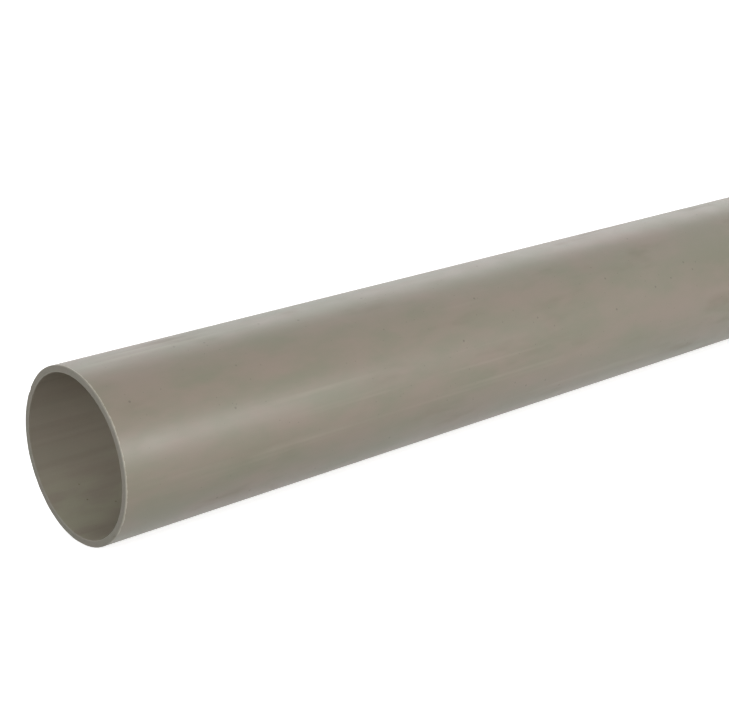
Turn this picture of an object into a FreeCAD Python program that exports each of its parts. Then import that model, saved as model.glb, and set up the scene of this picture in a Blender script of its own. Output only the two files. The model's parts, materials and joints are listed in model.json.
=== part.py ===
import FreeCAD, Part
import os

# A plain-ended length of rigid PVC pressure pipe, lying on its side.
#
# The pipe is extruded as one piece, so it is one solid: a round tube with a
# constant wall, sawn square at both ends. Lengths are in millimetres. The pipe
# lies along X on the plane Z = 0, and the origin is under the middle of its
# length, where it touches the ground.

# Driving dimensions: 4 inch nominal pipe. Its wall is one twenty-sixth of its
# outside diameter, a standard ratio for pressure pipe.
OUTER_DIAMETER = 114.3
WALL = 4.39
LENGTH = 3048.0

# The saw leaves a sharp corner, which is scraped off with a knife. The cut is
# as long along the pipe as it is deep, and the outside gets the larger one.
OUTER_EDGE_BREAK = 0.5
BORE_EDGE_BREAK = 0.3

# Worked out from the driving dimensions.
OUTER_RADIUS = OUTER_DIAMETER / 2.0
BORE_RADIUS = OUTER_RADIUS - WALL
HALF_LENGTH = LENGTH / 2.0

FULL_TURN = 360.0


def wall_section():
    """Half of the pipe cut along its axis: a long strip with broken corners.

    Points are (distance along X, distance from the axis), drawn in the XZ plane
    around the X axis, from the outside's -X end round to the bore's -X end.
    """
    outer_end = HALF_LENGTH - OUTER_EDGE_BREAK
    bore_end = HALF_LENGTH - BORE_EDGE_BREAK
    corners = [
        (-outer_end, OUTER_RADIUS),
        (outer_end, OUTER_RADIUS),
        (HALF_LENGTH, OUTER_RADIUS - OUTER_EDGE_BREAK),
        (HALF_LENGTH, BORE_RADIUS + BORE_EDGE_BREAK),
        (bore_end, BORE_RADIUS),
        (-bore_end, BORE_RADIUS),
        (-HALF_LENGTH, BORE_RADIUS + BORE_EDGE_BREAK),
        (-HALF_LENGTH, OUTER_RADIUS - OUTER_EDGE_BREAK),
    ]
    points = [FreeCAD.Vector(along, 0, radius) for along, radius in corners]
    return Part.Face(Part.makePolygon(points + points[:1]))


def pipe():
    """The tube: its wall section turned once round, then lifted onto Z = 0."""
    origin = FreeCAD.Vector(0, 0, 0)
    along_x = FreeCAD.Vector(1, 0, 0)
    tube = wall_section().revolve(origin, along_x, FULL_TURN)
    tube.translate(FreeCAD.Vector(0, 0, OUTER_RADIUS))
    return tube


def write(name, shape):
    """Write one sub-part, and print the size and volume that it came out at."""
    box = shape.BoundBox
    shape.exportStep(f"parts/{name}.step")
    print(
        f"{name}: {box.XLength:.2f} x {box.YLength:.2f} x {box.ZLength:.2f} mm, "
        f"{shape.Volume / 1000.0:.1f} cm3, valid {shape.isValid()}"
    )


os.makedirs("parts", exist_ok=True)
write("pipe", pipe())
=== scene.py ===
# %% [markdown]
# # A length of rigid PVC pressure pipe
#
# The object is one extruded tube of warm grey PVC, 114 mm across and 3 m long, with a plain
# end sawn square at each side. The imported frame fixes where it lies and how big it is.
# Everything below only adds what the eye needs: a rounder mesh, the saw's and the knife's
# marks, and the finish of the skin, of the bore and of the cut ends.

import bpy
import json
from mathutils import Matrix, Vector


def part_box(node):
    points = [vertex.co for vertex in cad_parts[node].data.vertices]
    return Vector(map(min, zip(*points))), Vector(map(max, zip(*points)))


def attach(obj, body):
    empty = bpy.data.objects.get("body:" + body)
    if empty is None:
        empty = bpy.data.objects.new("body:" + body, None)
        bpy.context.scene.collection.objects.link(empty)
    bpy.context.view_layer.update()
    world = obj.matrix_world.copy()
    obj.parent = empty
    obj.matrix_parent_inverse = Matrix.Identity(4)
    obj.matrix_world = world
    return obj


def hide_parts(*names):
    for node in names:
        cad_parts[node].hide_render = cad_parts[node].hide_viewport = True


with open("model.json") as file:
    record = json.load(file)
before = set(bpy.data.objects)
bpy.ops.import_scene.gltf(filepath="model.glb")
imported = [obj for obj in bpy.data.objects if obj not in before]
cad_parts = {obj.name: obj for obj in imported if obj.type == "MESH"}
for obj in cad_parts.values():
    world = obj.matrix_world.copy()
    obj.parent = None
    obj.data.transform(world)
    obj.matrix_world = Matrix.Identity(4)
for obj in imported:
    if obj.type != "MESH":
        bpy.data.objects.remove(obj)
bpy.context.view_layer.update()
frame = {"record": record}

# %% [markdown]
# ## Sizes
#
# A pipe has only a few sizes, and the record already states them: the bore and the outside
# are mounts, so their radii are read from there and not typed in again. Blender works in
# metres, and a mount's radius is in millimetres.

# %% Read the pipe's sizes
import json
import math

import bmesh
import bpy
from mathutils import Vector, noise

MM = 0.001
pipe_low, pipe_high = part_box("pipe")
mount_sizes = {mount["name"]: mount["dims"] for mount in frame["record"]["mounts"]}
bore_radius = mount_sizes["bore"]["r_mm"] * MM
outer_radius = mount_sizes["near_spigot"]["r_mm"] * MM
half_length = (pipe_high.x - pipe_low.x) / 2
axis_height = pipe_low.z + outer_radius
near_end = Vector((pipe_low.x, 0, axis_height))
outer_break = half_length - mount_sizes["near_spigot"]["length_mm"] * MM / 2
bore_break = half_length - mount_sizes["bore"]["length_mm"] * MM / 2
print(f"outside r {outer_radius:.5f}, bore r {bore_radius:.5f}, half length {half_length:.3f}")
print(f"edge breaks {outer_break / MM:.2f} and {bore_break / MM:.2f} mm")

# %% [markdown]
# ## The camera
#
# A long lens far from the object flattens it, and a short one close by makes the near end
# loom. Here a fairly long lens stands about a metre from the near mouth, a little above it,
# so that the mouth is a clear ellipse and the pipe runs away out of the frame. Only the
# camera's place, its two turns and its lens are needed, and no target object.

# %% Place the camera
CAMERA_FROM_MOUTH = Vector((-0.4743, -0.8224, 0.4418))
CAMERA_TURN = math.radians(40.71)
CAMERA_DIP = math.radians(19.12)
CAMERA_ROLL = math.radians(0.12)
CAMERA_LENS = 82.2

camera_data = bpy.data.cameras.new("camera")
camera_data.lens = CAMERA_LENS
camera = bpy.data.objects.new("camera", camera_data)
camera.location = Vector((near_end.x, near_end.y, pipe_low.z)) + CAMERA_FROM_MOUTH
camera.rotation_euler = (math.pi / 2 - CAMERA_DIP, CAMERA_ROLL, -CAMERA_TURN)
bpy.context.scene.collection.objects.link(camera)
bpy.context.scene.camera = camera
print("camera at", [round(value, 3) for value in camera.location])

# %% [markdown]
# ## The sawn end, as a shape
#
# On a real pipe the cut is never quite flat. The saw wanders by a few tenths of a
# millimetre, and the knife that scrapes the corners takes off more here and less there.
# This could be a bump in the material, but a rim is seen against the light, where only real
# geometry shows. So each rim point is moved by a little smooth noise, which depends on the
# angle round the pipe. Noise read along a circle meets itself again after a full turn.

# %% Describe the wander of the saw and of the knife
SAW_WANDER = 0.28 * MM
KNIFE_WANDER = 0.75
OUT_OF_SQUARE = 0.45 * MM


def round_noise(angle, waves, seed):
    """Smooth noise from about -1 to 1 that closes on itself after one turn."""
    place = Vector((math.cos(angle) * waves, math.sin(angle) * waves, seed))
    return noise.noise(place)


def saw_offset(angle, seed):
    """How far the cut lies outside its ideal plane, in metres."""
    slow = round_noise(angle, 0.8, seed) * SAW_WANDER
    fine = round_noise(angle, 7.0, seed + 3.1) * SAW_WANDER * 0.25
    lean = math.sin(angle + seed) * OUT_OF_SQUARE / 2
    return slow + fine + lean


def knife_share(angle, seed):
    """How much of the nominal corner the knife took: 1 is the nominal amount."""
    slow = round_noise(angle, 1.7, seed)
    fine = round_noise(angle, 9.0, seed + 5.7)
    return max(0.25, 1 + KNIFE_WANDER * (slow + 0.4 * fine))


print("saw wander near the top:", round(saw_offset(math.pi / 2, 1.0) / MM, 3), "mm")

# %% [markdown]
# ## Nicks
#
# Pipes are dragged and dropped on their ends, so the outer corner carries a few small
# nicks. Each is a shallow dent a few millimetres wide. They could be cut with a boolean,
# but a soft dent is easier as a rule that pushes the rim's points inwards and back where
# they are close to the nick's angle. It goes a little less far along the pipe than inwards.

# %% Describe the nicks
NEAR_NICKS = ((0.55, 1.6 * MM, 0.5 * MM), (2.45, 2.2 * MM, 0.35 * MM), (3.9, 1.4 * MM, 0.55 * MM))
FAR_NICKS = ((1.2, 1.8 * MM, 0.5 * MM), (4.4, 2.4 * MM, 0.4 * MM))
NICK_ALONG = 0.6


def nick_depth(angle, nicks):
    """Depth of the dents at this angle, from (angle, half width, depth) of each nick."""
    depth = 0.0
    for centre, half_width, deepest in nicks:
        away = (angle - centre + math.pi) % math.tau - math.pi
        reach = away * outer_radius / half_width
        depth += deepest * math.exp(-reach * reach)
    return depth


print("deepest nick:", round(max(nick_depth(nick[0], NEAR_NICKS) for nick in NEAR_NICKS) / MM, 2), "mm")

# %% [markdown]
# ## Stations along the pipe
#
# The mesh is a set of rings joined by strips of faces, as in a turned piece. Rings are close
# together near the ends, where the shape changes, and far apart between. The distances from
# an end grow by a fixed ratio until they reach the widest step, which a short loop gives.

# %% Work out where the rings go
FIRST_STEP = 0.4 * MM
STEP_GROWTH = 1.7
WIDEST_STEP = 0.06


def stations_from(start):
    """Places along the pipe from one broken corner to the other, dense at both ends."""
    place, step, left_half = -half_length + start, FIRST_STEP, []
    while place < -WIDEST_STEP / 2:
        left_half.append(place)
        place += step
        step = min(step * STEP_GROWTH, WIDEST_STEP)
    return left_half + [0.0] + [-value for value in reversed(left_half)]


outer_stations = stations_from(outer_break)
bore_stations = stations_from(bore_break)
print(len(outer_stations), "rings on the outside and", len(bore_stations), "in the bore")

# %% [markdown]
# ## Rings
#
# A ring is one turn of points at a place along the pipe and a radius. Three things bend it
# away from a perfect circle. The pipe has lain in a stack, so it is a little wider than it
# is high. The sizing sleeve that it was drawn through leaves very slow waves in its radius.
# And near an end the ring follows the saw's wander, fading out over a few millimetres.

# %% Build one ring
POINTS_AROUND = 288
FLATTENING = 0.12 * MM
SLEEVE_WAVE = 0.05 * MM
END_REACH = 3 * MM
NEAR_SEED, FAR_SEED = 1.0, 2.0

OUTSIDE, BORE, CUT = 0, 1, 2


def ring(shape, along, radius, dent=0.0):
    """Adds one ring of points to the mesh and returns them in order round the pipe."""
    is_far = along > 0
    side = 1 if is_far else -1
    seed, nicks = (FAR_SEED, FAR_NICKS) if is_far else (NEAR_SEED, NEAR_NICKS)
    fade = math.exp(-(half_length - abs(along)) / END_REACH)
    points = []
    for index in range(POINTS_AROUND):
        angle = math.tau * index / POINTS_AROUND
        wave = noise.noise(Vector((along * 3, math.cos(angle), math.sin(angle)))) * SLEEVE_WAVE
        reach = radius + FLATTENING * math.cos(2 * angle) + wave
        reach -= dent * nick_depth(angle, nicks)
        place = along + side * fade * saw_offset(angle, seed)
        place -= side * fade * dent * nick_depth(angle, nicks) * NICK_ALONG
        height = axis_height - FLATTENING + reach * math.sin(angle)
        points.append(shape.verts.new((place, reach * math.cos(angle), height)))
    return points


def corner_ring(shape, end, depth_in, radius, sink, seed, dent=0.0):
    """A ring on a broken corner: depth_in from the end and sink off the radius, as the knife left it."""
    points = ring(shape, end, radius, dent)
    side = 1 if end > 0 else -1
    for index, point in enumerate(points):
        angle = math.tau * index / POINTS_AROUND
        share = knife_share(angle, seed)
        outward = Vector((0, math.cos(angle), math.sin(angle)))
        point.co.x -= side * depth_in * share
        point.co -= outward * sink * share
    return points


print(POINTS_AROUND, "points round each ring")

# %% [markdown]
# ## The whole tube
#
# The rings run along the outside, over the far corner, down the cut, back through the bore
# and over the near cut to where they began, so the strips close into one watertight skin,
# like the real pipe. Each strip remembers whether it is outside, bore or cut, and that picks
# its finish. A corner takes three rings, so its narrow bevel can follow the knife's wander.

# %% Join the rings into the pipe
CUT_STEPS = 5
CORNER_SHARES = (1.0, 0.45, 0.0)
NICKED_CUT = 0.3


def end_rings(shape, end, knife_seed):
    """Rings from the outside's corner to the bore's corner of one end, with each strip's kind."""
    rings = []
    for share in CORNER_SHARES:
        sink = outer_break * (1 - share)
        ring_points = corner_ring(shape, end, outer_break * share, outer_radius, sink, knife_seed, 1.0)
        rings.append((ring_points, CUT))
    outer_edge = outer_radius - outer_break
    bore_edge = bore_radius + bore_break
    for step in range(1, CUT_STEPS):
        share = step / CUT_STEPS
        radius = outer_edge + (bore_edge - outer_edge) * share
        rings.append((ring(shape, end, radius, NICKED_CUT * (1 - share)), CUT))
    for share in reversed(CORNER_SHARES):
        sink = -bore_break * (1 - share)
        ring_points = corner_ring(shape, end, bore_break * share, bore_radius, sink, knife_seed + 4)
        rings.append((ring_points, CUT))
    return rings


def build_pipe():
    """The pipe as one closed mesh, with a material number on each face."""
    shape = bmesh.new()
    rings = [(ring(shape, place, outer_radius), OUTSIDE) for place in outer_stations[1:-1]]
    rings += end_rings(shape, half_length, knife_seed=8)
    rings += [(ring(shape, place, bore_radius), BORE) for place in reversed(bore_stations[1:-1])]
    rings += reversed(end_rings(shape, -half_length, knife_seed=9))
    for number, (points, kind) in enumerate(rings):
        next_points, next_kind = rings[(number + 1) % len(rings)]
        strip_kind = kind if kind == next_kind else min(kind, next_kind)
        for index in range(POINTS_AROUND):
            beside = (index + 1) % POINTS_AROUND
            corners = (points[index], points[beside], next_points[beside], next_points[index])
            face = shape.faces.new(corners)
            face.material_index = strip_kind
            face.smooth = True
    bmesh.ops.recalc_face_normals(shape, faces=shape.faces)
    mesh = bpy.data.meshes.new("pvc_pipe")
    shape.to_mesh(mesh)
    shape.free()
    return mesh


SHARP_ABOVE = math.radians(24)
pipe_mesh = build_pipe()
pipe_mesh.set_sharp_from_angle(angle=SHARP_ABOVE)
pipe = bpy.data.objects.new("pvc_pipe", pipe_mesh)
bpy.context.scene.collection.objects.link(pipe)
print(len(pipe_mesh.polygons) * 2, "triangles in the pipe")

# %% [markdown]
# ## Shader maths as plain arithmetic
#
# A finish is a sum of masks: a little of this colour where the noise is high, less gloss
# where the skin is scuffed. Wiring such sums by hand takes many Math nodes. Instead, a small
# class stands for one socket, and adding or multiplying two of them adds the node. The
# reflected forms let a plain number come first, as in `1 - mask`.

# %% A socket that can be calculated with
class Wire:
    """The value of one socket. Arithmetic on it adds Math nodes to its recipe."""

    def __init__(self, recipe, socket):
        self.recipe = recipe
        self.socket = socket

    def __add__(self, other):
        return self.recipe.maths("ADD", self, other)

    def __sub__(self, other):
        return self.recipe.maths("SUBTRACT", self, other)

    def __rsub__(self, other):
        return self.recipe.maths("SUBTRACT", other, self)

    def __mul__(self, other):
        return self.recipe.maths("MULTIPLY", self, other)

    __radd__ = __add__
    __rmul__ = __mul__


# %% [markdown]
# ## A recipe for one finish
#
# Every finish here is made the same way: read a place on the object, make masks from it, mix
# colours, and end in one Principled shader. The recipe holds the node tree and gives each of
# those steps a short name. Any node comes from `node`, which sets its settings first, because
# a setting can change which sockets a node has. The floor and the world have node trees too,
# so the same recipe makes theirs.

# %% The recipe class
MIX_FACTOR, MIX_FIRST, MIX_SECOND, MIX_RESULT = 0, 6, 7, 2
GRAIN_ROUGHNESS = 0.55


class Recipe:
    """Builds the nodes of one material, or of one world."""

    def __init__(self, name, made_in=None):
        if made_in is None:
            made_in = bpy.data.materials
        self.owner = made_in.new(name)
        self.owner.use_nodes = True
        self.tree = self.owner.node_tree
        self.tree.nodes.clear()

    def node(self, kind, settings=None, sockets=None):
        """Adds a node: its settings first, then a value or a wire for each named socket."""
        made = self.tree.nodes.new(kind)
        for name, value in (settings or {}).items():
            setattr(made, name, value)
        for name, value in (sockets or {}).items():
            if isinstance(value, Wire):
                self.tree.links.new(value.socket, made.inputs[name])
            else:
                made.inputs[name].default_value = value
        return made

    def wire(self, made, output=0):
        return Wire(self, made.outputs[output])

    def maths(self, operation, first, second=0.0):
        settings = {"operation": operation}
        return self.wire(self.node("ShaderNodeMath", settings, {0: first, 1: second}))

    def place(self):
        """Where the surface is on the object, in metres, as X, Y and Z."""
        return self.wire(self.node("ShaderNodeTexCoord"), "Object")

    def parts(self, vector):
        """The X, Y and Z of a vector as three wires."""
        made = self.node("ShaderNodeSeparateXYZ", sockets={0: vector})
        return self.wire(made, 0), self.wire(made, 1), self.wire(made, 2)

    def stretched(self, vector, factors):
        """The place scaled by a factor for each axis, which stretches what is read there."""
        settings = {"operation": "MULTIPLY"}
        return self.wire(self.node("ShaderNodeVectorMath", settings, {0: vector, 1: factors}))

    def grain(self, vector, scale, detail=3.0):
        """Smooth noise from 0 to 1, with scale features to the metre."""
        sockets = {"Vector": vector, "Scale": scale, "Detail": detail, "Roughness": GRAIN_ROUGHNESS}
        return self.wire(self.node("ShaderNodeTexNoise", sockets=sockets), "Fac")

    def between(self, value, low, high):
        """A mask that is 0 at low and 1 at high, with soft ends."""
        sockets = {"Value": value, "From Min": low, "From Max": high}
        settings = {"interpolation_type": "SMOOTHSTEP"}
        return self.wire(self.node("ShaderNodeMapRange", settings, sockets), "Result")

    def mix(self, factor, first, second):
        """The first colour where factor is 0 and the second where it is 1."""
        sockets = {MIX_FACTOR: factor, MIX_FIRST: first, MIX_SECOND: second}
        made = self.node("ShaderNodeMix", {"data_type": "RGBA"}, sockets)
        return self.wire(made, MIX_RESULT)

    def bump(self, height, depth, under=None):
        """Relief whose height of 1 stands depth metres high, on top of the relief under it."""
        sockets = {"Height": height, "Distance": depth}
        if under is not None:
            sockets["Normal"] = under
        return self.wire(self.node("ShaderNodeBump", sockets=sockets), "Normal")

    def end(self, shader, output="ShaderNodeOutputMaterial"):
        """Leads a shader to the output, and returns the finished material or world."""
        self.node(output, sockets={"Surface": shader})
        return self.owner

    def finish(self, **sockets):
        """Ends a material in one Principled shader, with names such as Base_Color."""
        named = {name.replace("_", " "): value for name, value in sockets.items()}
        return self.end(self.wire(self.node("ShaderNodeBsdfPrincipled", sockets=named)))


def colour(red, green, blue):
    """A colour from the usual 0 to 255 screen values, in Blender's linear light."""
    linear = []
    for value in (red, green, blue):
        share = value / 255
        linear.append(share / 12.92 if share < 0.04045 else ((share + 0.055) / 1.055) ** 2.4)
    return (*linear, 1.0)


print("mid grey is", [round(value, 3) for value in colour(128, 128, 128)])

# %% [markdown]
# ## What all three finishes share: the plastic's own colour
#
# PVC is coloured through, so the skin, the bore and the cut show the same compound. It is
# not one flat colour. The pigment drifts slowly between a warm, slightly rosy grey and an
# olive grey, over patches a few centimetres long, and it is drawn out along the pipe by the
# extruder. Two noises of different sizes, stretched along X, give that drift.

# %% Mix the compound
WARM_GREY = colour(135, 123, 111)
OLIVE_GREY = colour(122, 120, 103)
PALE_GREY = colour(143, 138, 125)


def compound(recipe, place):
    """The through-coloured PVC, before any wear."""
    drawn_out = recipe.stretched(place, (0.45, 1.0, 1.0))
    patches = recipe.grain(drawn_out, 38, detail=5)
    drift = recipe.grain(recipe.stretched(place, (0.25, 1.0, 1.0)), 9, detail=2)
    warm = recipe.between(patches, 0.3, 0.7)
    base = recipe.mix(warm, OLIVE_GREY, WARM_GREY)
    pale = recipe.between(drift, 0.45, 0.75) * 0.35
    return recipe.mix(pale, base, PALE_GREY)


# %% [markdown]
# ## The outer skin
#
# The outside was drawn through a polished sleeve, so it is satin, with fine lines along its
# length. Since then it has been stacked, dragged and strapped: long pale scuffs run along
# it, a few thin scratches cross them, and dark specks of grit and burnt compound are
# scattered about. Scuffs are also a little rougher than clean skin. The knife left the last
# millimetres beside each cut slightly whitened.

# %% Outer skin finish
SPECK = colour(78, 71, 57)
SCUFF = colour(172, 166, 151)
GRIME = colour(103, 95, 79)
WHITENED = colour(188, 183, 169)


def lengthwise_lines(recipe, place, per_metre, stretch):
    """Fine parallel lines along the pipe, as noise that is drawn out along X."""
    return recipe.grain(recipe.stretched(place, (stretch, 1.0, 1.0)), per_metre, detail=2)


def specks(recipe, place, per_metre, size, share):
    """Scattered round dots: the cells' centres, kept only in a share of the cells."""
    cells = recipe.node("ShaderNodeTexVoronoi", sockets={"Vector": place, "Scale": per_metre})
    near = recipe.between(recipe.wire(cells, "Distance"), size, size * 0.55)
    lot, _, _ = recipe.parts(recipe.wire(cells, "Color"))
    return near * recipe.maths("LESS_THAN", lot, share)


def unrolled(recipe, place, slant):
    """The skin laid flat: along the pipe and round it, in metres, turned by a slant.

    The seam of the unrolling is underneath, on the line where the pipe touches the ground.
    """
    along, across, height = recipe.parts(place)
    round_it = recipe.maths("ARCTAN2", across, height - axis_height) * outer_radius
    turned_along = along * math.cos(slant) + round_it * math.sin(slant)
    turned_round = round_it * math.cos(slant) - along * math.sin(slant)
    joined = recipe.node("ShaderNodeCombineXYZ", sockets={0: turned_along, 1: turned_round})
    return recipe.wire(joined, "Vector")


def scratches(recipe, place, slant, length, width, share):
    """Short straight scratches, all at one slant: dots in cells that are drawn out one way."""
    flat = recipe.stretched(unrolled(recipe, place, slant), (1 / length, 1 / (8 * width), 1.0))
    cells = recipe.node("ShaderNodeTexVoronoi", sockets={"Vector": flat, "Scale": 1.0})
    line = recipe.between(recipe.wire(cells, "Distance"), 0.13, 0.02)
    lot, _, _ = recipe.parts(recipe.wire(cells, "Color"))
    return line * recipe.maths("LESS_THAN", lot, share)


def near_an_end(recipe, along, reach):
    """1 at either cut, fading to 0 at reach metres from it."""
    from_end = half_length - recipe.maths("ABSOLUTE", along)
    return recipe.between(from_end, reach, 0.0)


def outer_skin():
    recipe = Recipe("outer_skin")
    place = recipe.place()
    along, _, _ = recipe.parts(place)
    base = compound(recipe, place)

    drag = lengthwise_lines(recipe, place, 95, 0.018)
    where = recipe.grain(recipe.stretched(place, (0.6, 1.0, 1.0)), 14, detail=3)
    scuffed = recipe.between(drag, 0.55, 0.74) * recipe.between(where, 0.42, 0.66)
    scuffed = scuffed * 0.4
    thin = scratches(recipe, place, 0.03, 0.2, 0.9 * MM, 0.16)
    thin = recipe.maths("MAXIMUM", thin, scratches(recipe, place, -0.12, 0.11, 0.7 * MM, 0.08))
    crossing = scratches(recipe, place, 0.7, 0.05, 0.7 * MM, 0.025)
    grit = specks(recipe, place, 150, 0.16, 0.10) + specks(recipe, place, 420, 0.2, 0.05)
    grime = recipe.between(recipe.grain(recipe.stretched(place, (0.3, 1, 1)), 45), 0.55, 0.8)
    ragged = recipe.grain(place, 420, detail=3)
    white_edge = recipe.between(near_an_end(recipe, along, 2.6 * MM) + ragged, 0.95, 1.3)

    tone = recipe.mix(grime * 0.3, base, GRIME)
    tone = recipe.mix(scuffed, tone, SCUFF)
    tone = recipe.mix(recipe.maths("MAXIMUM", thin, crossing) * 0.45, tone, SCUFF)
    tone = recipe.mix(grit * 0.45, tone, SPECK)
    tone = recipe.mix(white_edge * 0.6, tone, WHITENED)

    rough = 0.41 + scuffed * 0.16 + grime * 0.1 + white_edge * 0.12
    rough = rough + (recipe.grain(place, 60, detail=4) - 0.5) * 0.12

    fine_lines = lengthwise_lines(recipe, place, 900, 0.004)
    skin = recipe.grain(place, 1500, detail=2)
    relief = recipe.bump(fine_lines, 0.02 * MM)
    relief = recipe.bump(skin, 0.012 * MM, relief)
    relief = recipe.bump(1 - recipe.maths("MAXIMUM", thin, crossing), 0.03 * MM, relief)
    return recipe.finish(Base_Color=tone, Roughness=rough, Normal=relief, IOR=1.53)


outside_finish = outer_skin()
print("outer skin:", len(outside_finish.node_tree.nodes), "nodes")

# %% [markdown]
# ## The bore
#
# The inside never touched a sleeve. It cooled in air and kept the mandrel's lines, so it is
# a touch duller than the skin, with faint lines along it. Its colour is painted paler than
# the skin's: painted light that lifts the shade inside. Dust that the saw stirred up lies
# along the bottom, thickest near each mouth, and its pale colour there is also painted light,
# where light through the mouths falls. The bore is lit only through its mouths, so it looks
# dark, and the painted light only softens that.

# %% Bore finish
# The first colour is painted light: a paler tone that lifts the shade inside the bore.
BORE_PAINTED_LIGHT = colour(172, 163, 149)
# Dust, whose pale colour on the bottom near the mouths is also painted light.
DUST_AND_PAINTED_LIGHT = colour(169, 168, 146)
BORE_GRIME = colour(104, 90, 76)


def bore_skin():
    recipe = Recipe("bore_skin")
    place = recipe.place()
    along, _, height = recipe.parts(place)
    base = compound(recipe, place)

    lines = lengthwise_lines(recipe, place, 130, 0.01)
    shade = recipe.between(lines, 0.4, 0.75)
    low_down = recipe.between(height, axis_height - bore_radius * 0.2, axis_height - bore_radius * 0.9)
    near_mouth = near_an_end(recipe, along, 0.35) * 0.7 + 0.3
    patchy = recipe.between(recipe.grain(recipe.stretched(place, (0.4, 1, 1)), 70), 0.4, 0.7)
    # Dust on the bottom near each mouth, which also paints the light that comes in there.
    dust_and_painted_light = low_down * near_mouth * patchy
    grit = specks(recipe, place, 240, 0.18, 0.12) * low_down

    # Painted light: the whole bore is mixed paler than the skin, to lift the shade inside it.
    tone = recipe.mix(0.65, base, BORE_PAINTED_LIGHT)
    tone = recipe.mix(shade * 0.14, tone, BORE_GRIME)
    # Dust and painted light: the bottom near each mouth is mixed paler, as if lit through the mouth.
    tone = recipe.mix(dust_and_painted_light * 0.6, tone, DUST_AND_PAINTED_LIGHT)
    tone = recipe.mix(grit * 0.45, tone, SPECK)
    rough = 0.5 + dust_and_painted_light * 0.2 + shade * 0.06

    fine_lines = lengthwise_lines(recipe, place, 520, 0.006)
    relief = recipe.bump(fine_lines, 0.05 * MM)
    relief = recipe.bump(recipe.grain(place, 900, detail=2), 0.02 * MM, relief)
    return recipe.finish(Base_Color=tone, Roughness=rough, Normal=relief, IOR=1.53)


bore_finish = bore_skin()
print("bore:", len(bore_finish.node_tree.nodes), "nodes")

# %% [markdown]
# ## The cut ends
#
# A circular saw leaves shallow arcs, all about the point where its shaft was, and it tears
# the plastic matt and a little paler. The arcs could be a Wave texture, but the distance
# from the saw's shaft and a sine say the same thing plainly. Noise bends them slightly and
# varies their depth. The corner that the knife scraped is paler still.

# %% Cut end finish
SAW_SHAFT = Vector((0, 0.16, axis_height + 0.13))
SAW_PITCH = 1.1 * MM
CUT_TONE = colour(140, 138, 130)
CUT_SHADE = colour(112, 108, 98)


def cut_end():
    recipe = Recipe("cut_end")
    place = recipe.place()
    _, across, height = recipe.parts(place)
    base = compound(recipe, place)

    side = across - SAW_SHAFT.y
    rise = height - SAW_SHAFT.z
    from_shaft = recipe.maths("SQRT", side * side + rise * rise)
    bent = from_shaft + recipe.grain(place, 60, detail=2) * 0.5 * MM
    arcs = recipe.maths("SINE", bent * (math.tau / SAW_PITCH)) * 0.5 + 0.5
    patchy = recipe.between(recipe.grain(place, 90, detail=3), 0.3, 0.7)
    torn = recipe.grain(place, 1100, detail=3)

    from_axis_up = height - axis_height
    from_axis = recipe.maths("SQRT", across * across + from_axis_up * from_axis_up)
    scraped_outside = recipe.between(from_axis, outer_radius - 1.5 * outer_break, outer_radius)
    scraped_inside = recipe.between(from_axis, bore_radius + 2 * bore_break, bore_radius)
    scraped = recipe.maths("MAXIMUM", scraped_outside, scraped_inside)

    tone = recipe.mix(0.55, base, CUT_TONE)
    tone = recipe.mix(arcs * patchy * 0.28, tone, CUT_SHADE)
    tone = recipe.mix(recipe.between(torn, 0.5, 0.8) * 0.3, tone, CUT_SHADE)
    tone = recipe.mix(scraped * 0.3, tone, WHITENED)
    rough = 0.66 - scraped * 0.14 + torn * 0.1

    relief = recipe.bump(arcs * patchy, 0.08 * MM)
    relief = recipe.bump(torn, 0.06 * MM, relief)
    return recipe.finish(Base_Color=tone, Roughness=rough, Normal=relief, IOR=1.53)


cut_finish = cut_end()
print("cut end:", len(cut_finish.node_tree.nodes), "nodes")

# %% [markdown]
# ## Put the finishes on and hand the pipe to the frame
#
# The faces already carry a number for outside, bore or cut, so the finishes only have to go
# on the mesh in that order. The pipe then stands for the plain CAD node and rides on the only
# body there is.

# %% Dress the pipe
for finish in (outside_finish, bore_finish, cut_finish):
    pipe_mesh.materials.append(finish)
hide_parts("pipe")
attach(pipe, "root")
print("pipe wears", [material.name for material in pipe_mesh.materials])

# %% [markdown]
# ## Floor and background
#
# The pipe lies on a plain white ground with no horizon in view. The rays that show the floor
# itself, from the camera, gloss or glass, find a pale colour and a glow that add up to white,
# and the pipe's soft shadow still shows. The light that the floor throws back up finds a
# darker grey, or the pipe's underside would look lit from below. Light Path tells the two
# kinds of ray apart.

# %% Lay the floor
FLOOR_REACH = 14.0
FLOOR_WHITE = (0.84, 0.84, 0.84, 1.0)
FLOOR_GLOW = 0.69
FLOOR_BOUNCE = (0.2, 0.2, 0.19, 1.0)
WHITE = (1.0, 1.0, 1.0, 1.0)


def seen_directly(recipe):
    """1 for the rays that show the background itself: camera, mirror and glass rays."""
    path = recipe.node("ShaderNodeLightPath")
    camera_ray = recipe.wire(path, "Is Camera Ray")
    mirror_ray = recipe.wire(path, "Is Glossy Ray")
    glass_ray = recipe.wire(path, "Is Transmission Ray")
    return recipe.maths("MAXIMUM", recipe.maths("MAXIMUM", camera_ray, mirror_ray), glass_ray)


def floor_finish():
    recipe = Recipe("white_floor")
    direct = seen_directly(recipe)
    tone = recipe.mix(direct, FLOOR_BOUNCE, FLOOR_WHITE)
    glow = {"Emission_Color": WHITE, "Emission_Strength": direct * FLOOR_GLOW}
    return recipe.finish(Base_Color=tone, Roughness=0.9, Specular_IOR_Level=0.0, **glow)


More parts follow.
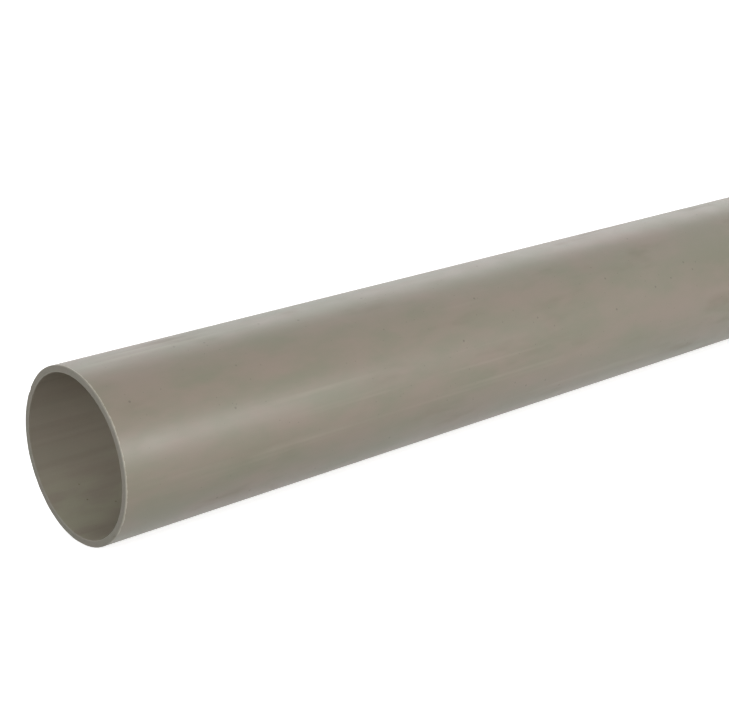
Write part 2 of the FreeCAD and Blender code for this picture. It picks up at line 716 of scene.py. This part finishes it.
def build_floor():
    """A flat square under the pipe, wide enough that no view sees past it soon."""
    mesh = bpy.data.meshes.new("floor")
    low, high = -FLOOR_REACH, FLOOR_REACH
    corners = [(low, low, 0), (high, low, 0), (high, high, 0), (low, high, 0)]
    mesh.from_pydata(corners, [], [(0, 1, 2, 3)])
    floor = bpy.data.objects.new("floor", mesh)
    floor.location = (0, 0, pipe_low.z)
    bpy.context.scene.collection.objects.link(floor)
    return floor


floor = build_floor()
floor.data.materials.append(floor_finish())
print("floor reaches", FLOOR_REACH, "m each way")

# %% [markdown]
# ## The world
#
# The pipe stands in a white tent, as for a catalogue. The camera and the gloss see the tent
# as pure white. The light that it gives is weaker, because soft boxes add theirs to it and
# the plastic should come out at about the tone that its colours say.

# %% Make the world
WORLD_GREY = 0.38


def light_world():
    recipe = Recipe("studio_tent", bpy.data.worlds)
    strength = WORLD_GREY + seen_directly(recipe) * (1 - WORLD_GREY)
    sky = recipe.node("ShaderNodeBackground", sockets={"Color": WHITE, "Strength": strength})
    return recipe.end(recipe.wire(sky), "ShaderNodeOutputWorld")


bpy.context.scene.world = light_world()
print("world:", bpy.context.scene.world.name)

# %% [markdown]
# ## The lamps
#
# Each soft box has a job. The top box stands high behind the pipe, and its gleam draws the
# pale line along the top edge. The front box, low by the near mouth, makes the soft band
# under the middle that fades along the pipe. The mouth box shines into the bore. The two
# fills reach the far half and the back, which would look dull otherwise, and are hidden from
# gloss so that they add no streak of their own. An area lamp shines along its own -Z, so
# each is turned to look at its target.

# %% Hang the lamps
MIDDLE = Vector((0.0, 0.0, 0.0))


def soft_box(name, place, target, width, depth, watts):
    """A rectangular area lamp at a place, aimed at a target."""
    lamp = bpy.data.lights.new(name, "AREA")
    lamp.shape = "RECTANGLE"
    lamp.size = width
    lamp.size_y = depth
    lamp.energy = watts
    box = bpy.data.objects.new(name, lamp)
    box.location = place
    box.rotation_euler = (Vector(target) - Vector(place)).to_track_quat("-Z", "Y").to_euler()
    bpy.context.scene.collection.objects.link(box)
    return box


soft_box("top_box", (0.3, 2.3, 1.65), MIDDLE, width=5.0, depth=1.8, watts=40)

front_place = near_end + Vector((0.5, -1.31, 0.35))
front_target = near_end + Vector((0.15, 0.0, 0.0))
soft_box("front_box", front_place, front_target, width=0.8, depth=0.45, watts=10)

mouth_place = near_end + Vector((-1.44, -1.08, 0.7))
soft_box("mouth_box", mouth_place, near_end, width=1.1, depth=0.9, watts=17)

far_fill = soft_box("far_fill", (1.2, -1.2, 0.8), (1.1, 0.0, 0.0), width=1.2, depth=0.6, watts=10)
back_fill = soft_box("back_fill", (0.0, 1.5, 0.45), (0.0, 0.0, 0.05), width=3.0, depth=0.5, watts=9)
for fill in (far_fill, back_fill):
    fill.visible_glossy = False

bpy.context.scene.view_settings.view_transform = "Standard"
